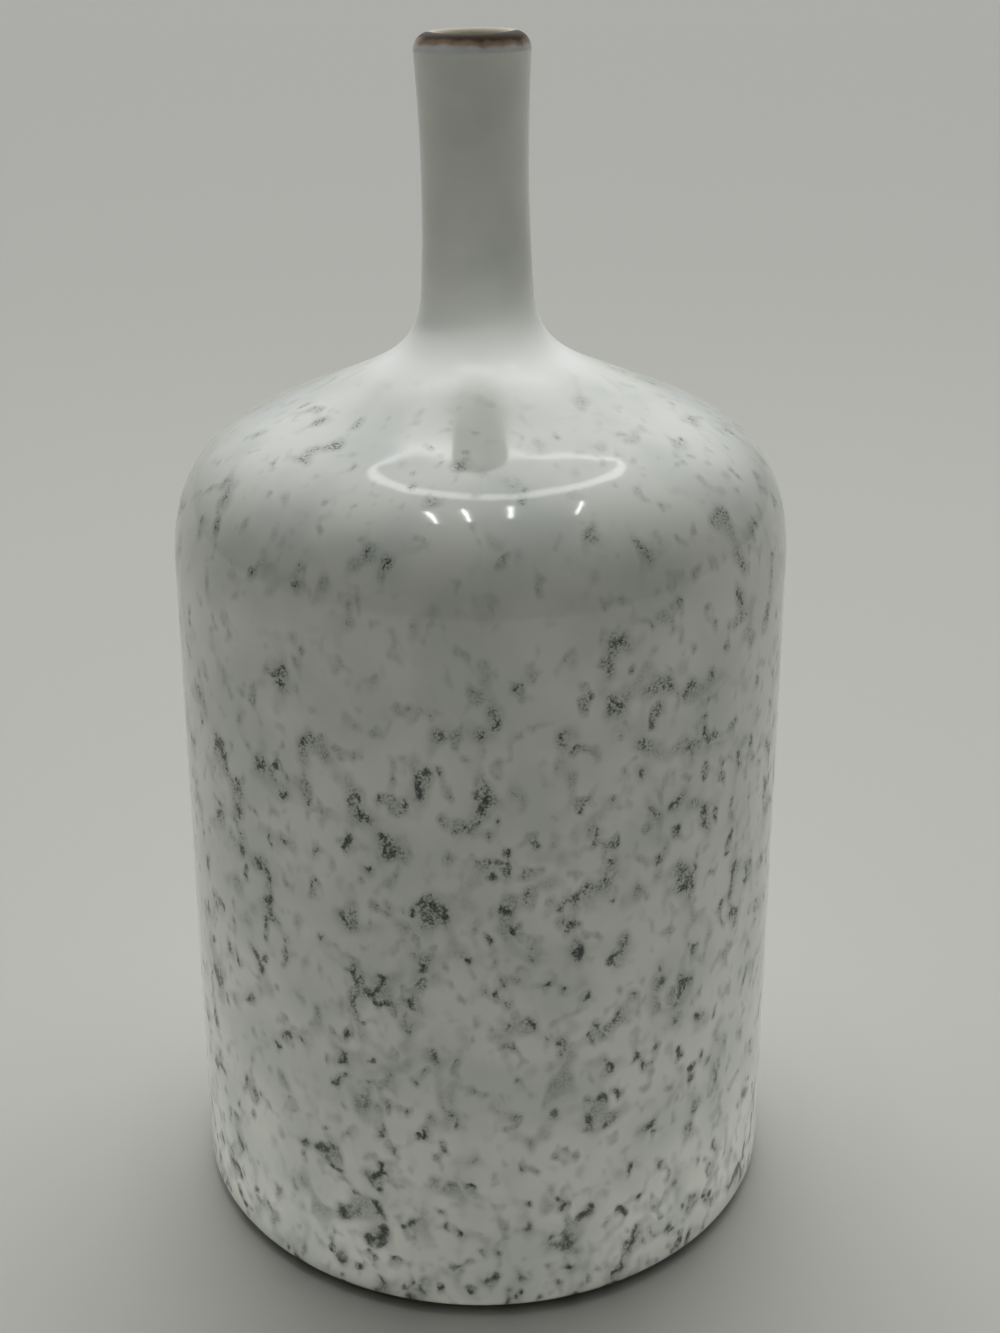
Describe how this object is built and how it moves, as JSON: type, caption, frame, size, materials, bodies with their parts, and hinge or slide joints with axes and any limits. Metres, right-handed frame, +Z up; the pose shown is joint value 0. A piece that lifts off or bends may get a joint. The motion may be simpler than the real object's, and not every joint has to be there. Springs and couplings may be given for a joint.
{
  "type": "vase",
  "caption": "Tall straight-walled stoneware bottle vase with domed shoulders, a slim neck, a rounded lip and a low foot ring, in a pale speckled glaze.",
  "frame": {"origin": "centre of the foot ring, on the surface that the vase stands on", "axes": "+Z up along the axis of the body, +X to the right and -Y towards the viewer of the side with the lean of the neck to the left"},
  "size_m": [0.169, 0.169, 0.3227],
  "materials": {
    "stoneware_clay": "matt, fired, slightly gritty",
    "seam_slip": "matt, fired",
    "speckled_glaze": "gloss, mottled with iron specks",
    "liner_glaze": "gloss",
    "iron_band": "satin, iron brown"
  },
  "bodies": {
    "root": {"foot_ring": "stoneware_clay", "foot_slip": "seam_slip", "body": "stoneware_clay", "shoulder_slip": "seam_slip", "shoulder": "stoneware_clay", "neck_slip": "seam_slip", "neck": "stoneware_clay", "outer_glaze": "speckled_glaze", "inner_glaze": "liner_glaze", "lip_band": "iron_band"}
  },
  "joints": []
}
